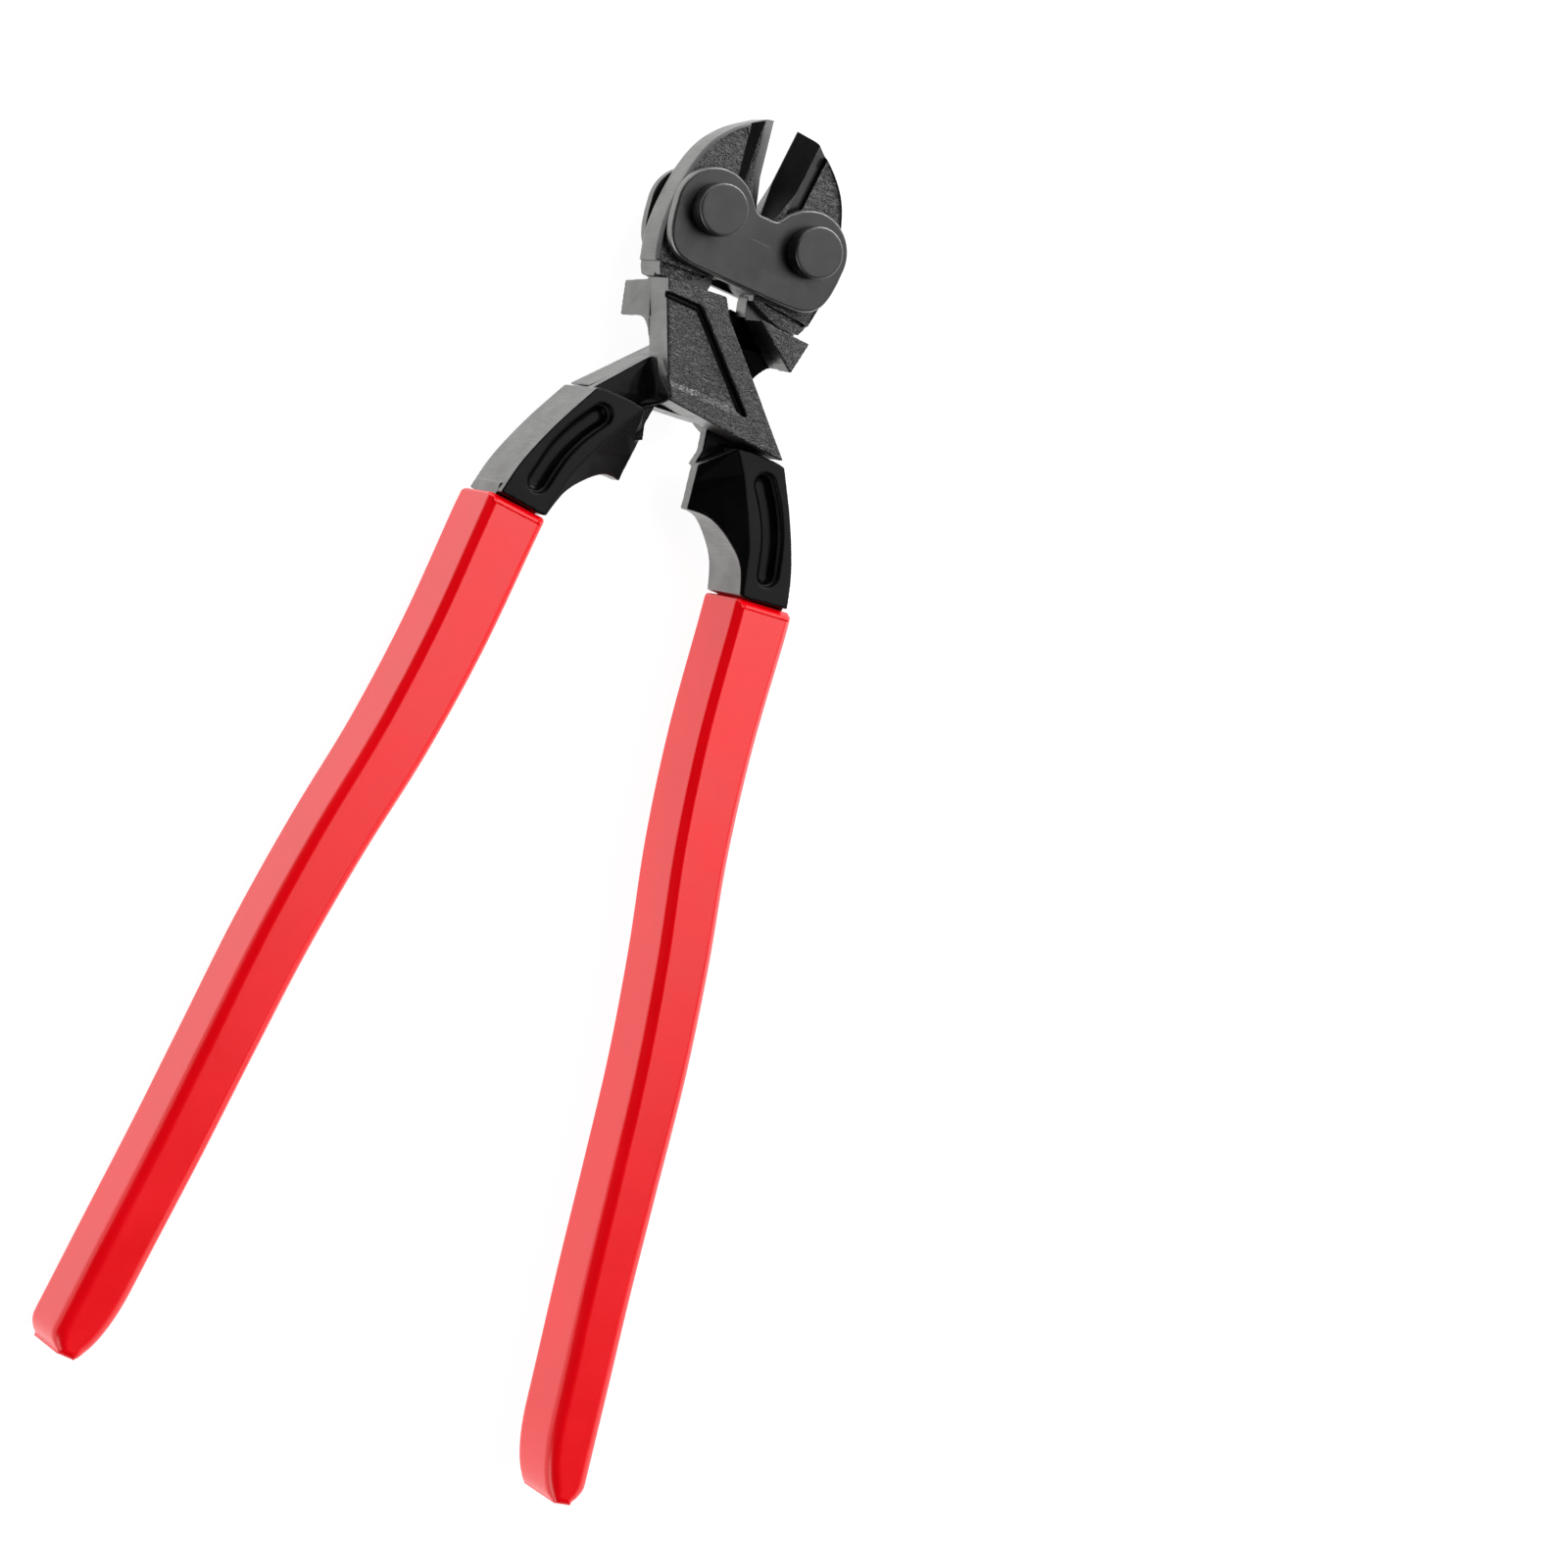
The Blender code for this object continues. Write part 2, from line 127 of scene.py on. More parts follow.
GRIP_TAIL_OUTER = 4.0
GRIP_TAIL_INNER = 15.0
GRIP_LIP = 0.8                 # radius of the rounded lip round a grip's mouth
MOUTH_GAP = 0.12               # room between a grip's mouth and the neck
GRIP_LINE = [(25.9, 165.7), (26.4, 160.0), (28.1, 140.0), (31.1, 120.0), (35.4, 100.0), (38.9, 80.0),
             (41.4, 60.0), (43.8, 40.0), (46.5, 20.0), (49.1, 0.0)]

# Details of the jaw's faces
BEVEL_RISE = 2.3               # how far the ground bevel has risen out of the blade at its lower end
VALLEY_DEPTH = 0.9
JAW_PANEL_DEPTH = 0.28
JAW_GROOVE_DEPTH = 1.1
JAW_PANEL_UPS = (217.5, 244.2)  # the panel's rim follows the jaw's back between these heights

# Details of the handle
BOSS_PANEL_FLOOR = CLAW_HALF - 0.8
BOSS_GROOVE_FLOOR = CLAW_HALF - 1.5
STUB_HALF = 5.6                # half thickness of the bar inside the grip
STUB_HALF_WIDTHS = [4.2, 3.6]  # at its top and at its lower end
STUB_TOP = (25.9, 168.0)
CHEEK_RADIUS = 3.6             # of the fillet between the rear cheek and the boss
CURVE_STEPS = 6                # steps in a short curve or fillet

# Steps along a grip and round its long edges
LIP_STEPS = 6
BODY_STEPS = 60
TAIL_STEPS = 16
EDGE_STEPS = 8
ROUNDING_START = 20.0          # distance below the top where the long edges begin to grow rounder

# Finish of the visual pieces
FORGING_VOXEL = 0.24
FORGING_SMOOTHING = 3
FORGING_RELAX = 0.5
NECK_STUB = 152.0              # the handle's bar is drawn down to here, inside its grip
JAW_EDGE = 0.12                # small round on the jaw's edges
RIVET_SEAT = 0.09              # the rivet head's underside lies this far off the link plate
CRISP_ABOVE = 40.0             # edges sharper than this, in degrees, stay crisp
JAW_CRISP_ABOVE = 30.0
FLAT_BELOW = 0.5               # faces that meet at less than this, in degrees, become one
WELD = 0.00001                 # points closer than this, in metres, become one


# ---------------------------------------------------------------- outlines

def arc(centre, radius, start, end, steps):
    """Points on an arc, angles in degrees counted from straight out."""
    points = []
    for step in range(steps + 1):
        angle = math.radians(start + (end - start) * step / steps)
        points.append((centre[0] + radius * math.cos(angle), centre[1] + radius * math.sin(angle)))
    return points


def smooth(points, steps):
    """A Catmull-Rom curve through the points."""
    ends = [points[0]] + list(points) + [points[-1]]
    curve = []
    for before, start, end, after in zip(ends, ends[1:], ends[2:], ends[3:]):
        for step in range(steps):
            t = step / steps
            curve.append(tuple(
                0.5 * (2 * b + (c - a) * t + (2 * a - 5 * b + 4 * c - d) * t ** 2
                       + (3 * b - a - 3 * c + d) * t ** 3)
                for a, b, c, d in zip(before, start, end, after)))
    curve.append(tuple(points[-1]))
    return curve


def turned(point, centre, degrees):
    """The point turned about the centre, toward the outside of the tool."""
    angle = math.radians(degrees)
    out = point[0] - centre[0]
    up = point[1] - centre[1]
    return (centre[0] + out * math.cos(angle) + up * math.sin(angle),
            centre[1] - out * math.sin(angle) + up * math.cos(angle))


def shifted(start, end, along, across):
    """A point at a distance along the line from start to end, and across it to the outside."""
    run = math.hypot(end[0] - start[0], end[1] - start[1])
    step = ((end[0] - start[0]) / run, (end[1] - start[1]) / run)
    return (start[0] + step[0] * along + step[1] * across, start[1] + step[1] * along - step[0] * across)


def sides(line, outer_half, inner_half):
    """The two sides of a band along the line; the half widths are one number for each point."""
    outer = []
    inner = []
    for index, point in enumerate(line):
        before = line[max(index - 1, 0)]
        after = line[min(index + 1, len(line) - 1)]
        run = math.hypot(after[0] - before[0], after[1] - before[1])
        normal = ((before[1] - after[1]) / run, (after[0] - before[0]) / run)
        outer.append((point[0] + normal[0] * outer_half[index], point[1] + normal[1] * outer_half[index]))
        inner.append((point[0] - normal[0] * inner_half[index], point[1] - normal[1] * inner_half[index]))
    return outer, inner


def capsule(line, radius):
    """Outline of a slot with round ends that follows a line from its upper to its lower end."""
    outer, inner = sides(line, [radius] * len(line), [radius] * len(line))
    caps = []
    for centre, point in ((line[-1], outer[-1]), (line[0], inner[0])):
        start = math.degrees(math.atan2(point[1] - centre[1], point[0] - centre[0]))
        caps.append(arc(centre, radius, start, start - 180.0, 10)[1:-1])
    return outer + caps[0] + inner[::-1] + caps[1]


def inset(outline, depths):
    """The outline drawn in by a depth at each point, along the bisectors of its corners."""
    area = sum(a[0] * b[1] - b[0] * a[1] for a, b in zip(outline, outline[1:] + outline[:1]))
    turn = 1.0 if area > 0 else -1.0
    moved = []
    for index, point in enumerate(outline):
        before = outline[index - 1]
        after = outline[(index + 1) % len(outline)]
        run_in = math.hypot(point[0] - before[0], point[1] - before[1])
        run_out = math.hypot(after[0] - point[0], after[1] - point[1])
        first = (-(point[1] - before[1]) / run_in * turn, (point[0] - before[0]) / run_in * turn)
        second = (-(after[1] - point[1]) / run_out * turn, (after[0] - point[0]) / run_out * turn)
        lean = max(1.0 + first[0] * second[0] + first[1] * second[1], 0.35)
        reach = depths[index] / lean
        moved.append((point[0] + (first[0] + second[0]) * reach, point[1] + (first[1] + second[1]) * reach))
    return moved


# ---------------------------------------------------------------- solids

def skin(rings, ladder=False):
    """A closed solid of a left-hand piece, stretched over rings of (out, up, z) points.

    As a ladder, its two end faces are split into rungs between the first and second half of the ring.
    """
    shape = bmesh.new()
    loops = [[shape.verts.new((-out * MM, up * MM, z * MM)) for out, up, z in ring] for ring in rings]
    for lower, upper in zip(loops, loops[1:]):
        for index in range(len(lower)):
            following = (index + 1) % len(lower)
            shape.faces.new((lower[index], lower[following], upper[following], upper[index]))
    for loop in (loops[0], loops[-1]):
        if ladder:
            for index in range(len(loop) // 2 - 1):
                shape.faces.new((loop[index], loop[index + 1], loop[-2 - index], loop[-1 - index]))
        else:
            shape.faces.new(loop)
    bmesh.ops.recalc_face_normals(shape, faces=shape.faces)
    mesh = bpy.data.meshes.new("solid")
    shape.to_mesh(mesh)
    shape.free()
    item = bpy.data.objects.new("solid", mesh)
    bpy.context.scene.collection.objects.link(item)
    return item


def at(outline, z):
    """The outline's points at a height."""
    return [(out, up, z) for out, up in outline]


def prism(outline, low, high):
    """The outline as a solid between two heights."""
    return skin([at(outline, low), at(outline, high)])


def circle(centre, radius, segments):
    """Points all the way round a circle."""
    return arc(centre, radius, 0.0, 360.0 - 360.0 / segments, segments - 1)


def cylinder(centre, radius, low, high, segments=96):
    """A round bar between two heights."""
    return prism(circle(centre, radius, segments), low, high)


def evaluated(item):
    """The item's mesh with its modifiers applied; the item itself is removed."""
    bpy.context.view_layer.update()
    graph = bpy.context.evaluated_depsgraph_get()
    mesh = bpy.data.meshes.new_from_object(item.evaluated_get(graph))
    bpy.data.objects.remove(item, do_unlink=True)
    return mesh


def carved(base, added=(), removed=(), flatten=True):
    """The base joined with the added solids, less the removed ones; flat areas become single faces."""
    for operation, tools in (('UNION', added), ('DIFFERENCE', removed)):
        for tool in tools:
            step = base.modifiers.new(operation.lower(), 'BOOLEAN')
            step.operation = operation
            step.solver = 'EXACT'
            step.object = tool
    mesh = evaluated(base)
    for item in (*added, *removed):
        bpy.data.objects.remove(item, do_unlink=True)
    shape = bmesh.new()
    shape.from_mesh(mesh)
    bmesh.ops.remove_doubles(shape, verts=shape.verts, dist=WELD)
    if flatten:
        bmesh.ops.dissolve_limit(shape, angle_limit=math.radians(FLAT_BELOW), verts=shape.verts,
                                 edges=shape.edges)
    shape.to_mesh(mesh)
    shape.free()
    mesh.materials.clear()
    item = bpy.data.objects.new("carved", mesh)
    bpy.context.scene.collection.objects.link(item)
    return item


def eased(item, width):
    """Break the item's sharp edges with a small round."""
    bevel = item.modifiers.new("edges", 'BEVEL')
    bevel.width = width * MM
    bevel.segments = 2
    bevel.limit_method = 'ANGLE'
    bevel.angle_limit = math.radians(35.0)
    bevel.harden_normals = True
    return item


def forged(item):
    """Turn crisp solids into one skin with the soft edges of a forging."""
    remesh = item.modifiers.new("skin", 'REMESH')
    remesh.mode = 'VOXEL'
    remesh.voxel_size = FORGING_VOXEL * MM
    remesh.adaptivity = 0.0
    relax = item.modifiers.new("relax", 'SMOOTH')
    relax.factor = FORGING_RELAX
    relax.iterations = FORGING_SMOOTHING
    return item


def shaded(mesh, crisp_above):
    """Smooth shading, but for the edges sharper than an angle in degrees."""
    mesh.shade_smooth()
    mesh.set_sharp_from_angle(angle=math.radians(crisp_above))
    return mesh


# ---------------------------------------------------------------- pieces

def add_piece(name, mesh, hand, body, look, node):
    """A piece on one side of the tool, which stands for a CAD node and rides on its body."""
    item = bpy.data.objects.new(name, mesh)
    bpy.context.scene.collection.objects.link(item)
    item.matrix_world = Matrix.Translation((0.0, -TOOL_LENGTH / 2 * MM, MIDDLE))
    if hand == "right":
        item.matrix_world = item.matrix_world @ Matrix.Rotation(math.pi, 4, 'Y')
    if not mesh.materials:
        mesh.materials.append(look)
    shading = item.modifiers.new("shading", 'WEIGHTED_NORMAL')
    shading.mode = 'FACE_AREA'
    shading.weight = 100
    shading.keep_sharp = True
    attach(item, body)
    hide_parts(node)
    return item


# Handles

def cheek_outline():
    """The rear cheek of the claw where it runs into the boss."""
    return [(15.1, 212.7), (4.2, 212.8), (12.6, 206.4)]


def cheek_face():
    """The rear face of the cheek, a little wider than its root."""
    return [(15.1, 212.2), (4.2, 212.8), (13.6, 205.9)]


def boss_outline():
    """The broad plate that crosses to the far side; its upper corner is the front cheek."""
    return [(15.15, 212.9), (3.3, 214.0), (1.3, 210.7), (-18.4, 190.8), (6.6, 192.9)]


def neck_inner_edge():
    """The neck's inner side, from the boss down to the grip."""
    return [(9.7, 190.0), (12.6, 186.0), (16.4, 179.0), (18.8, 173.8), (20.9, 165.6)]


def neck_outline():
    """The thick bent neck between the boss and the grip."""
    outer = smooth([(30.1, 166.6), (28.3, 173.3), (24.6, 181.6), (19.8, 190.2)], 8)
    return outer + [(17.8, 190.5), (13.1, 190.5)] + smooth(neck_inner_edge(), 6)


def web_outline():
    """Thin web that carries the boss on the neck, in front of the other handle's boss."""
    return [(19.8, 189.7), (18.5, 190.7), (10.4, 199.7), (4.4, 197.0), (6.2, 192.0), (6.9, 188.0),
            (6.2, 185.2), (16.0, 182.0)]


def lug_ramps():
    """Stations of the stop lug: thin at its free edge, full thickness where it meets the neck."""
    free_edge = [(6.2, 185.2), (6.6, 182.0), (7.0, 179.0), (7.3, 176.0), (7.4, 170.0)]
    root_half = NECK_HALF - 0.1
    into_neck = 2.0
    rings = []
    for edge, root in zip(free_edge, neck_inner_edge()):
        buried = root[0] + into_neck
        rings.append([(*edge, LUG_HALF), (*root, root_half), (buried, root[1], root_half),
                      (buried, root[1], -root_half), (*root, -root_half), (*edge, -LUG_HALF)])
    return rings


def cove_outline():
    """Space under the lug, along the hollow inner side of the neck."""
    return smooth([(7.1, 176.9), (9.2, 177.1), (12.0, 176.5), (15.7, 173.9), (18.7, 170.4),
                   (20.6, 165.0)], 6) + [(20.0, 160.0), (0.0, 160.0), (0.0, 176.9)]


def web_scoop():
    """Hollow slope that carries the web's face up into the side of the boss."""
    rings = []
    for rim, foot, high in (((10.3, 199.4), (9.8, 200.6), 7.4), ((12.4, 197.2), (8.2, 196.8), 9.2),
                            ((15.2, 194.2), (6.9, 193.6), 9.2), ((17.4, 191.4), (7.0, 192.4), 7.4),
                            ((18.4, 189.0), (10.5, 189.6), 3.4)):
        ring = [(rim[0], rim[1], WEB_HIGH - 1.0)]
        for step in range(CURVE_STEPS + 1):
            share = step / CURVE_STEPS
            rise = (1.0 - math.sqrt(1.0 - share ** 2)) * (high - WEB_HIGH)
            ring.append((rim[0] + (foot[0] - rim[0]) * share, rim[1] + (foot[1] - rim[1]) * share,
                         WEB_HIGH - 0.1 + rise))
        ring.append((foot[0] - 0.4, foot[1], high - 0.1))
        ring.append((foot[0] - 0.4, foot[1], WEB_HIGH - 1.0))
        rings.append(ring)
    return rings


def cheek_fillet():
    """Hollow fillet under the rear cheek, flush with the outer side of the claw."""
    _, root, corner = cheek_outline()
    heel = boss_outline()[-1]
    into_cheek = 0.6
    into_boss = LAP_GAP + 0.4
    rings = []
    for inward in (0.0, 6.5):
        start = shifted(corner, root, inward, 0.0)
        behind = shifted(start, heel, -into_cheek, 0.0)
        ring = [(*behind, into_boss), (*behind, LAP_GAP - CHEEK_RADIUS)]
        for step in range(CURVE_STEPS + 1):
            angle = 0.5 * math.pi * step / CURVE_STEPS
            ring.append((*shifted(start, heel, CHEEK_RADIUS * (1.0 - math.cos(angle)), 0.0),
                         LAP_GAP - CHEEK_RADIUS * (1.0 - math.sin(angle))))
        ring.append((*shifted(start, heel, CHEEK_RADIUS, 0.0), into_boss))
        rings.append(ring)
    return rings


def boss_panel():
    """The sunk face of the boss: open at the side, with a slope along its lower edge."""
    upper_edge = [(16.4, 210.7), (7.7, 210.7), (7.2, 210.62), (6.8, 210.4)]
    foot_of_slope = [(-7.9, 196.3), (8.0, 196.5), (12.4, 196.6)]
    head_of_slope = [(-9.6, 194.6), (8.0, 194.75), (12.4, 194.85)]
    return skin([at(upper_edge + foot_of_slope, BOSS_PANEL_FLOOR),
                 at(upper_edge + head_of_slope, CLAW_HALF + 0.4)])


def boss_groove():
    """The deeper groove along the upper and inner edges of the sunk face."""
    band = [(16.4, 210.75), (7.7, 210.75), (7.2, 210.67), (6.8, 210.45), (-8.6, 195.65), (-8.1, 195.2),
            (-7.2, 195.6), (6.6, 208.9), (7.2, 209.5), (7.9, 209.75), (16.4, 209.75)]
    return prism(band, BOSS_GROOVE_FLOOR, CLAW_HALF - 0.5)


def neck_pocket(face):
    """A long trough with steep walls and a hollow floor, following the bend of the neck."""
    line = smooth([(17.3, 185.9), (20.1, 181.9), (22.5, 177.0), (24.1, 170.9)], 6)
    section = ((0.6, 5.0), (1.15, 5.15), (1.5, 5.5), (1.75, 6.0), (1.95, 6.9), (2.15, 7.35), (2.35, 7.7))
    return skin([at(capsule(line, radius), face * z) for radius, z in section])


def grip_middle(up):
    """How far out the bowed middle line of a grip is at this height."""
    curve = smooth(GRIP_LINE, 12)
    for above, below in zip(curve, curve[1:]):
        if above[1] >= up >= below[1]:
            share = (above[1] - up) / (above[1] - below[1])
            return above[0] + (below[0] - above[0]) * share
    return curve[0][0]


def handle_mesh():
    """The handle forging: boss, claw, web, neck, lug and the first part of the bar in the grip."""
    boss = prism(boss_outline(), LAP_GAP, CLAW_HALF)
    stub = [STUB_TOP, (grip_middle(NECK_STUB), NECK_STUB)]
    outer, inner = sides(stub, STUB_HALF_WIDTHS, STUB_HALF_WIDTHS)
    lug = carved(skin(lug_ramps()), (), [prism(cove_outline(), -CLAW_HALF, CLAW_HALF)])
    added = [skin([at(cheek_face(), -CLAW_HALF), at(cheek_outline(), LAP_GAP + 1.0)]),
             prism(web_outline(), LAP_GAP, WEB_HIGH),
             prism(neck_outline(), -NECK_HALF, NECK_HALF),
             prism(outer + inner[::-1], -STUB_HALF, STUB_HALF),
             skin(web_scoop()),
             skin(cheek_fillet()),
             lug]
    slot = [(13.4, 216.0), (13.1, 212.7), (12.6, CLAW_FLOOR), (7.5, CLAW_FLOOR), (-3.0, 212.4),
            (-3.0, 216.0)]
    removed = [prism(slot, -TONGUE_HALF - GAP, TONGUE_HALF + GAP),
               boss_panel(),
               boss_groove(),
               neck_pocket(1.0),
               neck_pocket(-1.0)]
    mesh = evaluated(forged(carved(boss, added, removed)))
    mesh.shade_smooth()
    return mesh


# Grips

def grip_line(top, end):
    """Points down the middle of a grip, closer together toward the rounded end."""
    straight = top - end - GRIP_TAIL_INNER - GRIP_LIP
    ups = [top - GRIP_LIP * (1.0 - math.cos(0.5 * math.pi * step / LIP_STEPS)) for step in range(LIP_STEPS)]
    ups += [top - GRIP_LIP - straight * step / BODY_STEPS for step in range(BODY_STEPS)]
    for step in range(TAIL_STEPS + 1):
        ups.append(end + GRIP_TAIL_INNER * (1.0 - math.sin(0.5 * math.pi * step / TAIL_STEPS)))
    return [(grip_middle(up), up) for up in ups]


def rounded_off(up, end, tail):
    """Share of the width that is left near the round end of a grip."""
    left_over = min((up - end) / tail, 1.0)
    return math.sqrt(max(1.0 - (1.0 - left_over) ** 2, 0.0))


def lip_depth(up):
    """How far the rounded lip at the top of a grip is drawn in at this height."""
    below = min((GRIP_LINE[0][1] - up) / GRIP_LIP, 1.0)
    return GRIP_LIP * (1.0 - math.sqrt(1.0 - (1.0 - below) ** 2))


def grip_width(up):
    """Width of a grip at this height."""
    for above, below in zip(GRIP_WIDTHS, GRIP_WIDTHS[1:]):
        if up >= below[0]:
            break
    share = (above[0] - up) / (above[0] - below[0])
    return above[1] + (below[1] - above[1]) * share


def grip_sides():
    """The outer and inner side of a grip, from its top to its rounded end."""
    top, end = GRIP_LINE[0][1], GRIP_LINE[-1][1]
    line = grip_line(top, end)
    outer_half = []
    inner_half = []
    for _, up in line:
        half = 0.5 * grip_width(up) - lip_depth(up)
        outer_half.append(half * max(rounded_off(up, end, GRIP_TAIL_OUTER), 0.5))
        inner_half.append(half * max(rounded_off(up, end, GRIP_TAIL_INNER), 0.2))
    return sides(line, outer_half, inner_half)


def edge_profile(share, half_width):
    """Steps (drawn in, below the face) round a grip's long edge.

    The share is 0 at the top of the grip, where the edge is a flat chamfer, and 1 at its end,
    where it is a full round.
    """
    leg = min(1.35 + 0.9 * share, 0.7 * half_width)
    round_share = 0.16 + 0.8 * share
    profile = [(0.0, 1.25 * leg)]
    for step in range(EDGE_STEPS + 1):
        angle = 0.5 * math.pi * step / EDGE_STEPS
        flat = (leg * step / EDGE_STEPS, leg * (1.0 - step / EDGE_STEPS))
        bow = (leg * (1.0 - math.cos(angle)), leg * (1.0 - math.sin(angle)))
        profile.append(tuple(a + (b - a) * round_share for a, b in zip(flat, bow)))
    profile.append((1.2 * leg, 0.0))
    return profile


def grip_mesh():
    """The dipped sleeve: rings from face to face, with a mouth that the neck fills.

    At the rounded end no point of a ring is let below the line across the tip.
    """
    outer, inner = grip_sides()
    top, end = GRIP_LINE[0][1], GRIP_LINE[-1][1]
    profiles = []
    for one, other in zip(outer, inner):
        up = (one[1] + other[1]) / 2
        rounding_top = top - ROUNDING_START
        share = min(max((rounding_top - up) / (rounding_top - end), 0.0), 1.0) ** 1.6
        profiles.append(edge_profile(share, math.dist(one, other) / 2))
    profiles += profiles[::-1]
    outline = outer + inner[::-1]
    tilt = (outer[-1][1] - inner[-1][1]) / (outer[-1][0] - inner[-1][0])
    rings = []
    for level in range(len(profiles[0])):
        drawn_in = inset(outline, [profile[level][0] for profile in profiles])
        foot = inner[-1][1] + profiles[len(outer)][level][0]
        drawn_in = [(out, max(up, foot + tilt * (out - inner[-1][0]), 0.0)) for out, up in drawn_in]
        rings.append([(out, up, GRIP_HALF - lip_depth(min(up, top)) - profile[level][1])
                      for (out, up), profile in zip(drawn_in, profiles)])
    lower = [[(out, up, -z) for out, up, z in ring] for ring in reversed(rings)]
    body = skin(rings[::-1] + lower[::-1], ladder=True)
    mouth = inset(neck_outline(), [-MOUTH_GAP] * len(neck_outline()))
    room = prism(mouth, -NECK_HALF - MOUTH_GAP, NECK_HALF + MOUTH_GAP)
    return shaded(evaluated(carved(body, (), [room], flatten=False)), CRISP_ABOVE)


# Head

def edge_line():
    """The cutting edge of the open jaw: heel and tip."""
    heel = turned((CLOSED_GAP, EDGE_BOTTOM), RIVET, JAW_OPEN_ANGLE)
    tip = turned((CLOSED_GAP, EDGE_TOP), RIVET, JAW_OPEN_ANGLE)
    return heel, tip


def along_edge(section, stations, front):
    """A solid whose section of (depth from the edge, z) follows the cutting edge.

    The stations are (distance from the edge's heel, rise); front is 1 or -1, for the side it is on.
    """
    heel, tip = edge_line()
    rings = []
    for along, rise in stations:
        rings.append([(*shifted(heel, tip, along, depth), front * (z + rise)) for depth, z in section])
    return skin(rings)


def edge_bevel(front):
    """A wedge that grinds one side of the blade down to the edge, and runs out toward the rivet."""
    slope = (JAW_HALF - EDGE_LAND) / EDGE_WIDTH
    start, finish, clear = -0.6, EDGE_WIDTH + 0.8, 12.0
    section = [(start, EDGE_LAND + start * slope), (finish, EDGE_LAND + finish * slope), (finish, clear),
               (start, clear)]
    return along_edge(section, ((-3.2, BEVEL_RISE), (4.9, 0.0), (20.0, 0.0)), front)


def ledge_valley(front):
    """The shallow valley between the ground edge and the grained panel."""
    start, clear = EDGE_WIDTH - 0.05, JAW_HALF + 1.0
    section = [(start, JAW_HALF + 0.03), (VALLEY, JAW_HALF - VALLEY_DEPTH), (PANEL_START, JAW_HALF - 0.3),
               (PANEL_START, clear), (start, clear)]
    return along_edge(section, ((-8.0, 0.0), (18.0, 0.0)), front)


def jaw_outline(drawn_in=0.0):
    """Outline of the open jaw; its back can be drawn in."""
    heel, tip = edge_line()
    back = smooth([(5.6, 247.0), (10.8, 243.2), (14.6, 238.0), (16.9, 229.8), (17.4, 222.0),
                   (16.3, 215.7)], 10)
    hook = smooth([(6.0, 216.5), (3.4, 217.1), (1.4, 218.2), (0.2, 219.6)], 6)
    depths = [drawn_in * min(1.0, 0.35 + index / 12) for index in range(len(back))]
    inner_back = sides(back, [0.0] * len(back), depths)[1]
    return [tip] + inner_back + hook + [(0.2, RIVET[1]), heel]


def jaw_panel():
    """The sunk, grained panel, inside the chamfer of the back."""
    heel, tip = edge_line()
    lowest, highest = JAW_PANEL_UPS
    rim = [(out, up) for out, up in jaw_outline(BACK_CHAMFER + 0.15) if lowest < up < highest and out > 8.0]
    start = shifted(heel, tip, -15.0, PANEL_START - 0.02)
    finish = shifted(heel, tip, 11.2, PANEL_START - 0.02)
    corner = shifted(heel, tip, 12.0, PANEL_START + 0.35)
    return [start, finish, corner] + rim + [(rim[-1][0] - 0.3, 216.4), (8.0, 217.2)]


def jaw_mesh():
    """The cutting jaw: blade, tongue, and on both faces a bevel, a valley, a panel, a lip and a groove."""
    chamfer = ((-JAW_HALF, 1.0), (-JAW_HALF + 1.1, 0.15), (-JAW_HALF + 1.5, 0.0),
               (JAW_HALF - 1.5, 0.0), (JAW_HALF - 1.1, 0.15), (JAW_HALF, 1.0))
    blade = skin([at(jaw_outline(BACK_CHAMFER * share), z) for z, share in chamfer])
    tongue_end = arc(KNUCKLE, TONGUE_ROUND, 0.0, -170.0, 24)
    tongue = prism([(14.9, 218.0), (14.9, 213.3), (12.7, 213.2), *tongue_end, (8.3, 212.6), (4.5, 213.0),
                    (3.9, 215.6), (3.8, 217.6)], -TONGUE_HALF, TONGUE_HALF)
    front_lip = [(15.8, 216.4), (15.4, 214.9), (14.7, 213.6), (11.5, 213.7), (8.6, 214.9), (5.6, 216.3),
                 (5.0, 217.4)]
    rear_lip = [(15.8, 216.4), (15.4, 214.9), (14.7, 213.6), (11.0, 213.4), (8.2, 214.2), (5.0, 215.4),
                (4.0, 216.0), (3.7, 217.4)]
    groove = [(15.1, 215.9), (15.1, 215.2), (8.8, 215.75), (6.4, 216.05), (6.4, 216.55), (8.8, 216.35)]
    added = [tongue]
    removed = []
    for face, lip in ((1, front_lip), (-1, rear_lip)):
        added.append(prism(lip, *sorted((0.0, face * (JAW_HALF - 0.15)))))
        removed.append(edge_bevel(face))
        removed.append(ledge_valley(face))
        for outline, depth in ((jaw_panel(), JAW_PANEL_DEPTH), (groove, JAW_GROOVE_DEPTH)):
            removed.append(prism(outline, *sorted((face * (JAW_HALF - depth), face * (JAW_HALF + 1.0)))))
    return shaded(evaluated(eased(carved(blade, added, removed), JAW_EDGE)), JAW_CRISP_ABOVE)


def half_plate():
    """The outward half of the butterfly outline, from the valley down to the foot."""
    saddle = smooth([(0.0, 230.4), (2.2, 230.6), (4.0, 232.6), (6.0, 234.3)], 8)
    lobe = arc(RIVET, PLATE_LOBE, 112.0, -8.0, 26)
    foot = smooth([(17.45, 224.6), (16.95, 221.9), (16.0, 219.6), (14.4, 218.0), (12.0, 217.15),
                   (8.5, PLATE_FOOT), (5.0, PLATE_FOOT)], 6)
    return saddle + lobe + foot


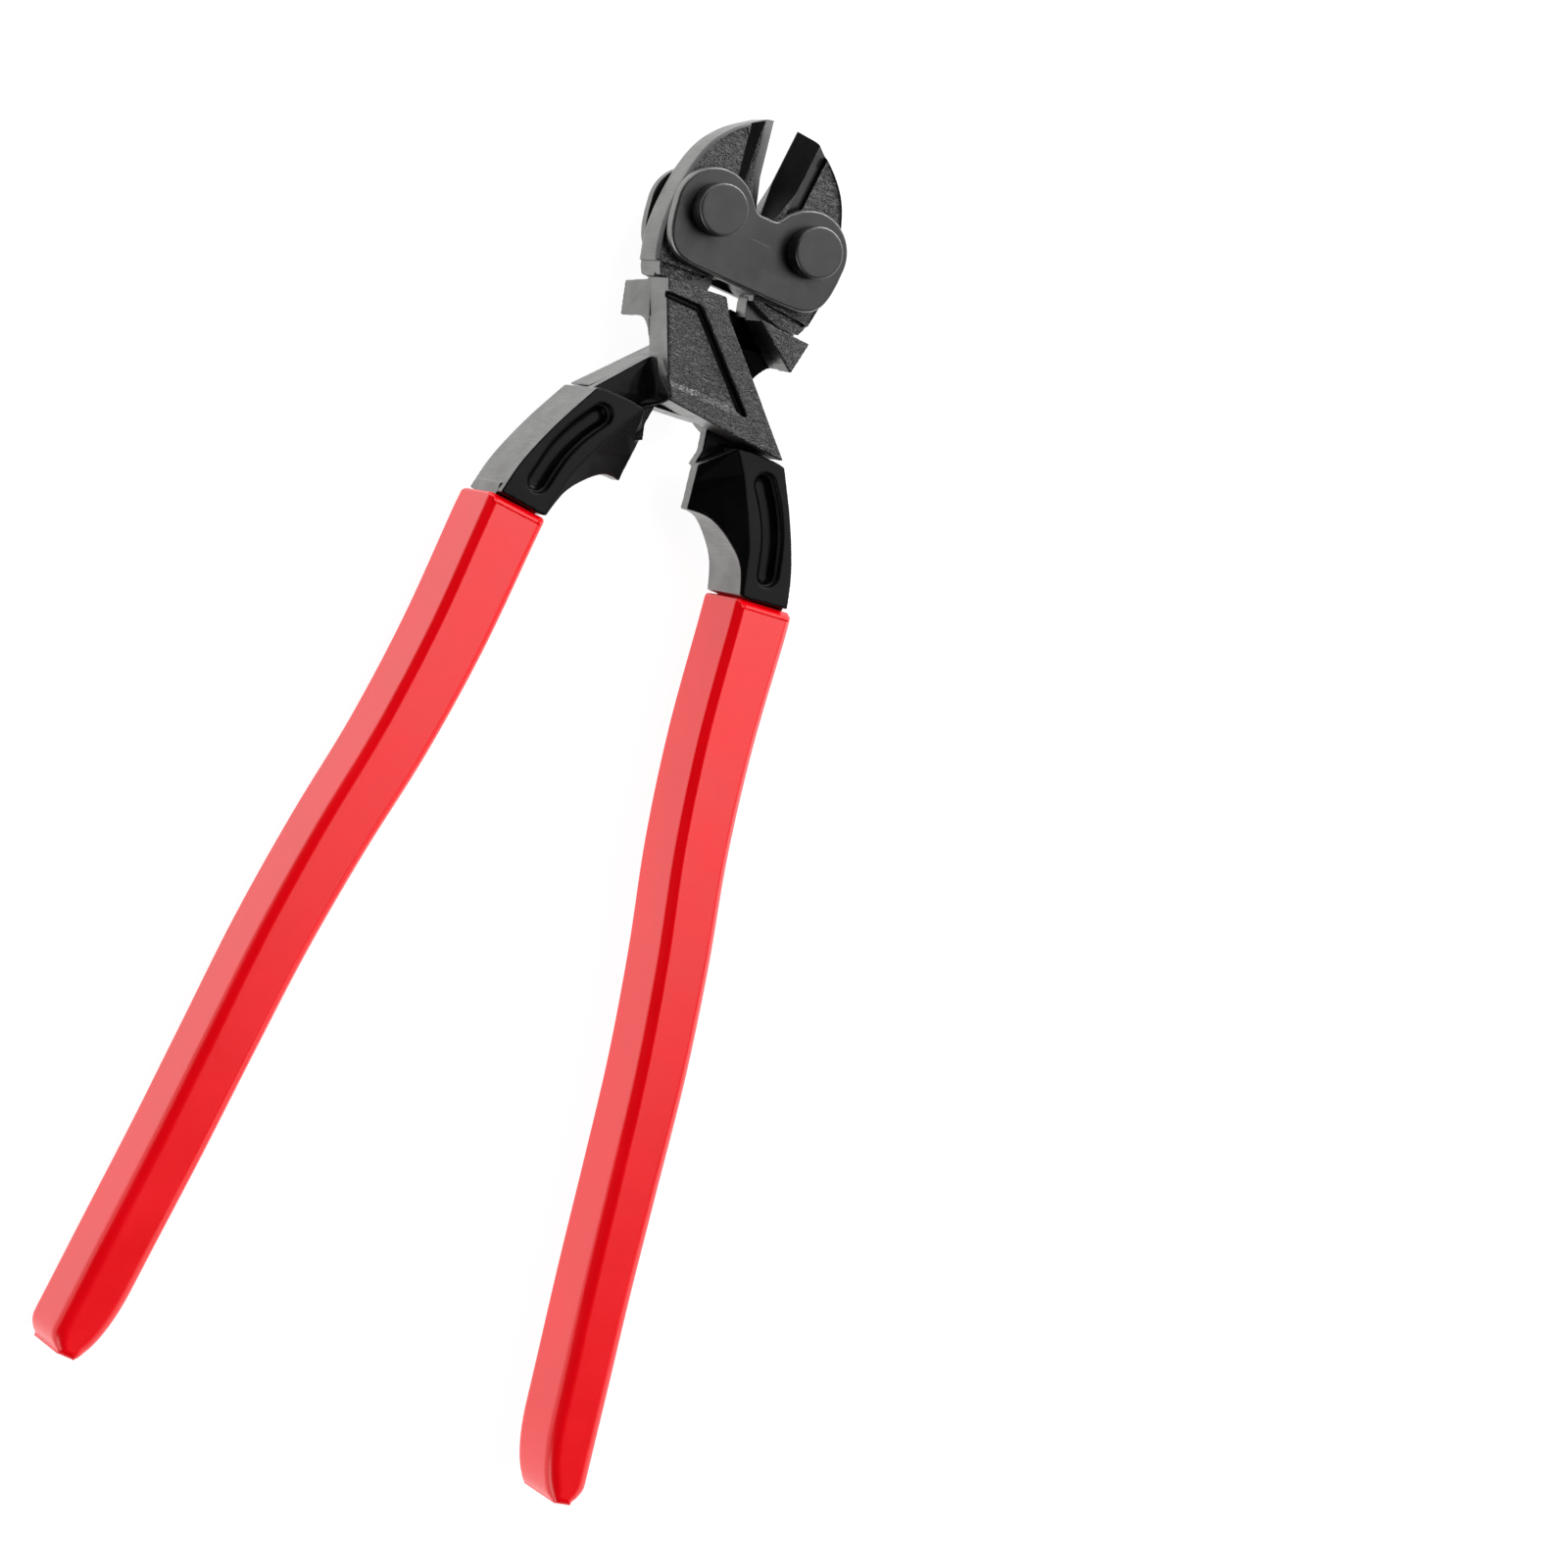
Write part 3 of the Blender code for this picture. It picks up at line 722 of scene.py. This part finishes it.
def link_plate_mesh():
    """The butterfly plate, with a rolled edge and a seat for each rivet's shank."""
    outward = half_plate()
    outline = outward + [(-out, up) for out, up in reversed(outward) if out > 0.01]
    levels = ((PLATE_LOW, 0.25), (PLATE_LOW + 0.12, 0.05), (PLATE_LOW + 0.3, 0.0),
              (PLATE_HIGH - 0.6, 0.0), (PLATE_HIGH - 0.38, 0.06), (PLATE_HIGH - 0.17, 0.2),
              (PLATE_HIGH - 0.05, 0.38), (PLATE_HIGH, 0.6), (PLATE_HIGH, 0.9))
    plate = skin([at(inset(outline, [depth] * len(outline)), z) for z, depth in levels])
    seats = []
    for side in (1, -1):
        middle = (side * RIVET[0], RIVET[1])
        seats.append(cylinder(middle, RIVET_SHANK + GAP, PLATE_LOW - 1.0, PLATE_HIGH + 1.0))
    return shaded(evaluated(carved(plate, (), seats)), CRISP_ABOVE)


def turned_part(centre, profile, segments=128):
    """A solid of revolution about a joint axis; the profile is (radius, z) from below to above."""
    return skin([at(circle(centre, radius, segments), z) for radius, z in profile])


def rivet_mesh():
    """A rivet with a shank and a tall round head at both ends."""
    under = PLATE_HIGH + RIVET_SEAT
    head = [(RIVET_SHANK, 0.0), (RIVET_SHANK, under), (RIVET_HEAD - 0.25, under),
            (RIVET_HEAD - 0.05, under + 0.1), (RIVET_HEAD, under + 0.3), (RIVET_HEAD, HEAD_TOP - 0.45),
            (RIVET_HEAD - 0.05, HEAD_TOP - 0.22), (RIVET_HEAD - 0.18, HEAD_TOP - 0.06),
            (RIVET_HEAD - 0.4, HEAD_TOP), (RIVET_HEAD - 0.8, HEAD_TOP)]
    profile = [(radius, -z) for radius, z in reversed(head)] + head[1:]
    return shaded(evaluated(turned_part(RIVET, profile)), CRISP_ABOVE)


# ---------------------------------------------------------------- materials

class Surface:
    """A node material with one Principled shader, and short calls for the nodes that feed it."""

    def __init__(self, name, colour, roughness, metallic=0.0):
        self.material = bpy.data.materials.new(name)
        self.material.use_nodes = True
        self.tree = self.material.node_tree
        self.shader = self.tree.nodes["Principled BSDF"]
        self.shader.inputs["Base Color"].default_value = (*colour, 1.0)
        self.shader.inputs["Roughness"].default_value = roughness
        self.shader.inputs["Metallic"].default_value = metallic
        self.place = self.node("ShaderNodeTexCoord")

    def node(self, kind, inputs=None, **settings):
        """A new node; each of its inputs gets a value or a link."""
        made = self.tree.nodes.new(kind)
        for key, value in settings.items():
            setattr(made, key, value)
        for key, value in (inputs or {}).items():
            if isinstance(value, bpy.types.NodeSocket):
                self.tree.links.new(value, made.inputs[key])
            else:
                made.inputs[key].default_value = value
        return made

    def feed(self, socket, value):
        self.tree.links.new(value, self.shader.inputs[socket])

    def stretched(self, x, y, z):
        """Object coordinates, scaled along each axis."""
        return self.node("ShaderNodeMapping", {"Vector": self.place.outputs["Object"],
                                               "Scale": (x, y, z)}).outputs["Vector"]

    def noise(self, vector, scale, detail=3.0, roughness=0.55, distortion=0.0):
        return self.node("ShaderNodeTexNoise", {"Vector": vector, "Scale": scale, "Detail": detail,
                                                "Roughness": roughness,
                                                "Distortion": distortion}).outputs["Fac"]

    def ramp(self, value, low, high, to_low=0.0, to_high=1.0):
        """A smooth step of the value between low and high; it falls if high is the lower one."""
        return self.node("ShaderNodeMapRange", {"Value": value, "From Min": low, "From Max": high,
                                                "To Min": to_low, "To Max": to_high},
                         interpolation_type='SMOOTHSTEP').outputs["Result"]

    def maths(self, operation, first, second=0.0):
        return self.node("ShaderNodeMath", {0: first, 1: second}, operation=operation).outputs["Value"]

    def blend(self, share, first, second):
        """A mix of two colours."""
        made = self.node("ShaderNodeMix", {"Factor": share}, data_type='RGBA')
        for socket, value in ((made.inputs[6], first), (made.inputs[7], second)):
            if isinstance(value, bpy.types.NodeSocket):
                self.tree.links.new(value, socket)
            else:
                socket.default_value = (*value, 1.0)
        return made.outputs[2]

    def mix(self, share, first, second):
        """A mix of two numbers."""
        return self.node("ShaderNodeMix", {"Factor": share, 2: first, 3: second},
                         data_type='FLOAT').outputs[0]

    def creases(self, value, width):
        """Thin winding lines where a noise passes its middle value: 0 in a crease, 1 beside it."""
        return self.ramp(self.maths('ABSOLUTE', self.maths('SUBTRACT', value, 0.5)), 0.0, width)

    def bump(self, height, depth_mm, normal=None):
        inputs = {"Height": height, "Distance": depth_mm * MM, "Strength": 1.0}
        if normal is not None:
            inputs["Normal"] = normal
        return self.node("ShaderNodeBump", inputs).outputs["Normal"]

    def facing(self):
        """How squarely the surface faces the front or the back of the tool, from 0 to 1."""
        return self.size_of_z("Normal")

    def size_of_z(self, source):
        """The z of an object coordinate or normal, without its sign."""
        parts = self.node("ShaderNodeSeparateXYZ", {"Vector": self.place.outputs[source]})
        return self.maths('ABSOLUTE', parts.outputs["Z"])


def forged_steel(name, grain_above, steepest, ridge_highlight, shade_gloss, smoothest):
    """Black forging scale and bare satin sides; the faces above a height in mm have a wrinkled skin.

    The skin is found where a face turns at least as squarely to the front as "steepest". Faces below the
    height, and slopes steeper than that, are painted near black with the specular level given for the
    scale, which is lower than on the flat raised faces: painted shade in the recesses and on the slopes.
    The colour given for the ridges is the skin's ridges painted lighter than its creases, a painted
    highlight and shade of the wrinkles; smoothest is the scale's lowest roughness.
    """
    look = Surface(name, (0.02, 0.02, 0.022), 0.45)
    facing = look.facing()
    bare = look.ramp(facing, 0.34, 0.18)
    # Below the grain height the scale takes no grain, a near-black colour and the lower specular level:
    # painted shade in the recesses. Slopes steeper than "steepest" get the same painted shade.
    raised_grain_and_lit = look.ramp(look.size_of_z("Object"), (grain_above - 0.3) * MM, (grain_above + 0.3) * MM)
    flat = look.maths('MULTIPLY', look.ramp(facing, steepest, steepest + 0.07), raised_grain_and_lit)
    broad = look.creases(look.noise(look.stretched(0.38, 1.0, 1.0), 900.0, 2.0, 0.5, 1.2), 0.07)
    narrow = look.creases(look.noise(look.stretched(0.45, 1.0, 1.0), 1900.0, 2.0, 0.5, 0.8), 0.09)
    folds = look.maths('MULTIPLY', look.ramp(broad, 0.0, 1.0, 0.25, 1.0),
                       look.ramp(narrow, 0.0, 1.0, 0.5, 1.0))
    pores = look.noise(look.place.outputs["Object"], 5200.0, 2.0)
    cloud = look.noise(look.place.outputs["Object"], 160.0, 4.0)
    brushed = look.noise(look.stretched(1.0, 1.0, 0.06), 3600.0, 2.0)

    # The ridges of the skin take the lighter ridge colour and its creases the near-black one: a painted
    # highlight and painted shade of the wrinkles, over their real grain.
    ridges = look.maths('MULTIPLY', folds, flat)
    mottled_shade = look.blend(look.ramp(cloud, 0.3, 0.7), (0.0015, 0.0015, 0.002), (0.004, 0.004, 0.005))
    scale_dark = look.blend(ridges, mottled_shade, (ridge_highlight, ridge_highlight, 1.1 * ridge_highlight))
    steel = look.blend(look.ramp(cloud, 0.25, 0.75), (0.17, 0.17, 0.167), (0.24, 0.24, 0.235))
    look.feed("Base Color", look.blend(bare, scale_dark, steel))
    look.feed("Metallic", bare)
    # Flat raised faces and bare sides keep a high specular level; the rest of the scale gets the lower one,
    # as painted shade.
    look.feed("Specular IOR Level", look.mix(look.maths('MAXIMUM', flat, bare), shade_gloss, 0.70))
    scale_rough = look.ramp(pores, 0.2, 0.8, smoothest, smoothest + 0.12)
    steel_rough = look.ramp(brushed, 0.2, 0.8, 0.28, 0.42)
    look.feed("Roughness", look.mix(bare, scale_rough, steel_rough))
    normal = look.bump(ridges, 0.17)
    normal = look.bump(pores, 0.006, normal)
    look.feed("Normal", look.bump(brushed, 0.0015, normal))
    return look.material


def blackened_plate():
    """Smooth oiled black steel with faint scratches and patches; the cut sides are bare."""
    look = Surface("blackened_plate", (0.03, 0.03, 0.03), 0.35)
    cloud = look.noise(look.place.outputs["Object"], 210.0, 5.0, 0.6)
    fine = look.noise(look.place.outputs["Object"], 2600.0, 3.0)
    bent = look.node("ShaderNodeMapping", {"Vector": look.place.outputs["Object"],
                                           "Rotation": (0.0, 0.0, 0.6),
                                           "Scale": (0.04, 1.0, 1.0)}).outputs["Vector"]
    lines = look.noise(bent, 1300.0, 3.0, 0.5, 0.6)
    scratch = look.ramp(lines, 0.64, 0.76)
    worn = look.maths('MULTIPLY', scratch, look.ramp(cloud, 0.50, 0.58))
    dark = look.blend(look.ramp(cloud, 0.3, 0.7), (0.003, 0.003, 0.003), (0.009, 0.009, 0.008))
    bare = look.ramp(look.facing(), 0.94, 0.80)
    scuffed = look.blend(worn, dark, (0.075, 0.075, 0.073))
    look.feed("Base Color", look.blend(bare, scuffed, (0.22, 0.22, 0.215)))
    look.feed("Metallic", bare)
    look.feed("Roughness", look.ramp(cloud, 0.3, 0.7, 0.30, 0.42))
    normal = look.bump(fine, 0.003)
    look.feed("Normal", look.bump(scratch, 0.003, normal))
    return look.material


def rivet_head_steel():
    """Black turned steel, rubbed bright round the rim of the head."""
    look = Surface("rivet_head_steel", (0.01, 0.01, 0.01), 0.35)
    facing = look.facing()
    rim = look.maths('MULTIPLY', look.ramp(facing, 0.985, 0.93), look.ramp(facing, 0.15, 0.45))
    cloud = look.noise(look.place.outputs["Object"], 300.0, 4.0)
    fine = look.noise(look.place.outputs["Object"], 2600.0, 3.0)
    dark = look.blend(look.ramp(cloud, 0.3, 0.7), (0.004, 0.004, 0.004), (0.013, 0.013, 0.013))
    look.feed("Base Color", look.blend(rim, dark, (0.13, 0.13, 0.128)))
    look.feed("Metallic", rim)
    look.feed("Roughness", look.ramp(cloud, 0.3, 0.7, 0.30, 0.42))
    look.feed("Normal", look.bump(fine, 0.003))
    return look.material


def red_dip():
    """Thick glossy red dip with a faint orange peel; a weak red emission is a painted glow that brightens
    the red as more light would.
    """
    look = Surface("red_dip", (0.74, 0.0, 0.004), 0.3)
    look.shader.inputs["Specular IOR Level"].default_value = 0.54
    # Painted glow: the red emits a little light of its own, standing in for brighter lighting on the grips.
    look.shader.inputs["Emission Color"].default_value = (1.0, 0.0, 0.006, 1.0)
    look.shader.inputs["Emission Strength"].default_value = 0.24
    peel = look.noise(look.place.outputs["Object"], 420.0, 2.0)
    cloud = look.noise(look.place.outputs["Object"], 55.0, 3.0)
    look.feed("Base Color", look.blend(look.ramp(cloud, 0.3, 0.7), (0.70, 0.0, 0.003), (0.78, 0.0, 0.005)))
    look.feed("Roughness", look.ramp(cloud, 0.25, 0.75, 0.21, 0.27))
    look.feed("Normal", look.bump(peel, 0.010))
    return look.material


def pin_steel():
    """Bright turned steel with fine rings."""
    look = Surface("pin_steel", (0.42, 0.42, 0.41), 0.28, 1.0)
    rings = look.noise(look.stretched(0.05, 0.05, 1.0), 4000.0, 2.0)
    look.feed("Roughness", look.ramp(rings, 0.2, 0.8, 0.22, 0.36))
    look.feed("Normal", look.bump(rings, 0.002))
    return look.material


def light_table():
    """Pale sheet with light from below, so that the tool throws almost no shadow."""
    look = Surface("light_table", (0.22, 0.22, 0.22), 0.9)
    fibres = look.noise(look.place.outputs["Object"], 900.0, 2.0)
    look.feed("Base Color", look.blend(fibres, (0.21, 0.21, 0.21), (0.23, 0.23, 0.23)))
    look.shader.inputs["Emission Color"].default_value = (1.0, 1.0, 1.0, 1.0)
    look.shader.inputs["Emission Strength"].default_value = 0.95
    return look.material


# ---------------------------------------------------------------- studio

def add_camera():
    """The photograph's viewpoint; the azimuth is counted from the front, the roll about the view."""
    azimuth = math.radians(VIEW_AZIMUTH)
    elevation = math.radians(VIEW_ELEVATION)
    back = Vector((math.sin(azimuth) * math.cos(elevation),
                   -math.cos(azimuth) * math.cos(elevation),
                   math.sin(elevation)))
    data = bpy.data.cameras.new("view")
    data.lens = LENS
    data.sensor_width = SENSOR
    data.clip_start = 0.01
    data.clip_end = 20.0
    camera = bpy.data.objects.new("view", data)
    bpy.context.scene.collection.objects.link(camera)
    turn = (-back).to_track_quat('-Z', 'Y').to_matrix().to_4x4() @ Matrix.Rotation(
        math.radians(VIEW_ROLL), 4, 'Z')
    camera.matrix_world = Matrix.Translation(Vector(VIEW_TARGET) + back * VIEW_DISTANCE) @ turn
    bpy.context.scene.camera = camera


def add_floor():
    """The pale ground that the tool lies on."""
    bpy.ops.mesh.primitive_plane_add(size=6.0, location=(0.0, 0.0, cad_low[2]))
    floor = bpy.context.object
    floor.name = "floor"
    floor.data.materials.append(light_table())


def softbox(name, towards, distance, size, radiance):
    """A soft light seen from the tool in a given direction, with a given brightness."""
    direction = Vector(towards).normalized()
    data = bpy.data.lights.new(name, 'AREA')
    data.shape = 'RECTANGLE'
    data.size = size[0]
    data.size_y = size[1]
    data.energy = radiance * math.pi * size[0] * size[1]
    light = bpy.data.objects.new(name, data)
    light.matrix_world = (Matrix.Translation(direction * distance)
                          @ direction.to_track_quat('Z', 'Y').to_matrix().to_4x4())
    bpy.context.scene.collection.objects.link(light)


def add_light():
    """A dark room on the left and a pale wall on the right, with four soft boxes round the tool."""
    world = bpy.data.worlds.new("studio")
    bpy.context.scene.world = world
    world.use_nodes = True
    tree = world.node_tree
    background = tree.nodes["Background"]
    background.inputs["Color"].default_value = (1.0, 1.0, 1.0, 1.0)
    coordinates = tree.nodes.new("ShaderNodeTexCoord")
    parts = tree.nodes.new("ShaderNodeSeparateXYZ")
    across = tree.nodes.new("ShaderNodeMapRange")
    across.interpolation_type = 'SMOOTHSTEP'
    across.inputs["From Min"].default_value = 0.55
    across.inputs["From Max"].default_value = 1.0
    across.inputs["To Min"].default_value = 0.03
    across.inputs["To Max"].default_value = 1.5
    tree.links.new(coordinates.outputs["Generated"], parts.inputs["Vector"])
    tree.links.new(parts.outputs["X"], across.inputs["Value"])
    tree.links.new(across.outputs["Result"], background.inputs["Strength"])
    softbox("overhead", (0.30, 0.42, 0.86), 1.6, (1.5, 1.25), 2.5)
    softbox("behind_head", (0.38, 0.85, 0.35), 1.6, (1.4, 0.4), 12.0)
    softbox("left_front", (-0.6, -0.8, 0.2), 1.8, (1.2, 0.7), 3.0)
    softbox("left_back", (-0.6, 0.8, 0.15), 1.8, (0.9, 0.5), 2.0)


def assemble():
    """Make every visible piece and put it in the place of its CAD node."""
    # The ridge colours below are painted highlight on the wrinkles. The lower specular levels are painted
    # shade on the sunk and sloped scale.
    handle_steel = forged_steel("handle_steel", grain_above=8.1, steepest=0.70, ridge_highlight=0.022, shade_gloss=0.12,
                                smoothest=0.26)
    jaw_steel = forged_steel("jaw_steel", grain_above=3.0, steepest=0.935, ridge_highlight=0.030, shade_gloss=0.50,
                             smoothest=0.24)
    plate_steel = blackened_plate()
    rivet_steel = rivet_head_steel()
    red = red_dip()
    bright = pin_steel()
    handle = handle_mesh()
    grip = grip_mesh()
    jaw = jaw_mesh()
    rivet = rivet_mesh()
    for hand in ("left", "right"):
        on_handle = hand + "_handle"
        add_piece(hand + "_forged_handle", handle, hand, on_handle, handle_steel, on_handle)
        add_piece(hand + "_dipped_grip", grip, hand, on_handle, red, hand + "_grip")
        add_piece(hand + "_cutting_jaw", jaw, hand, hand + "_jaw", jaw_steel, hand + "_jaw")
        add_piece(hand + "_pivot_rivet", rivet, hand, "head", rivet_steel, hand + "_rivet")
    plate = link_plate_mesh()
    for face, hand in (("front", "left"), ("rear", "right")):
        add_piece(face + "_butterfly_plate", plate, hand, "head", plate_steel,
                  face + "_link_plate")
    for name in ("left_knuckle_pin", "right_knuckle_pin", "centre_pin"):
        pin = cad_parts[name]
        pin.data.materials.clear()
        pin.data.materials.append(bright)


add_camera()
add_floor()
add_light()
bpy.context.scene.view_settings.view_transform = 'Standard'
assemble()
